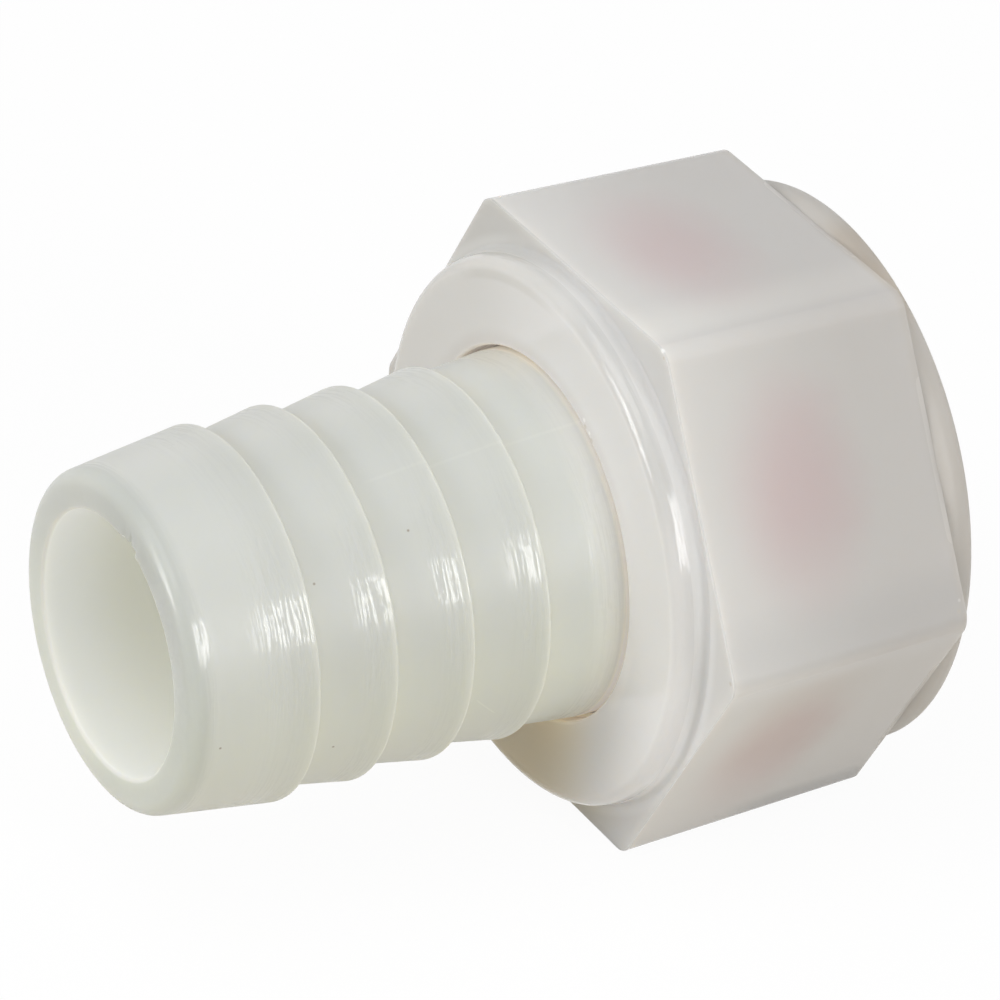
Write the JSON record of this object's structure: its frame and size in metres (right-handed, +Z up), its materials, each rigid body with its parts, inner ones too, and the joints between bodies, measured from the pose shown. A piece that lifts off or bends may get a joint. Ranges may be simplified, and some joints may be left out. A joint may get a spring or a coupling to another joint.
{
  "type": "swivel hose barb",
  "caption": "Plastic hose fitting: a barbed hose tail with a flange, held in a hexagonal swivel nut with an internal thread and a flat rubber sealing washer.",
  "frame": {"origin": "middle of the fitting's underside, where the level fitting lies on one flat of its nut", "axes": "+X along the fitting's axis, from the barbs to the nut's open end; +Z up, square to the nut's top flat"},
  "size_m": [0.0458, 0.0376, 0.0329],
  "materials": {
    "tail_nylon": "natural nylon, milky and slightly translucent, satin gloss",
    "nut_nylon": "white nylon, slightly translucent, satin gloss",
    "washer_rubber": "red rubber, matte"
  },
  "bodies": {
    "tail": {"hose_tail": "tail_nylon"},
    "nut": {"swivel_nut": "nut_nylon", "sealing_washer": "washer_rubber"}
  },
  "joints": [
    {"name": "nut_swivel", "type": "hinge", "parent": "tail", "child": "nut", "pos_m": [0.00365, 0, 0.01645], "axis": [1, 0, 0], "continuous": true}
  ]
}
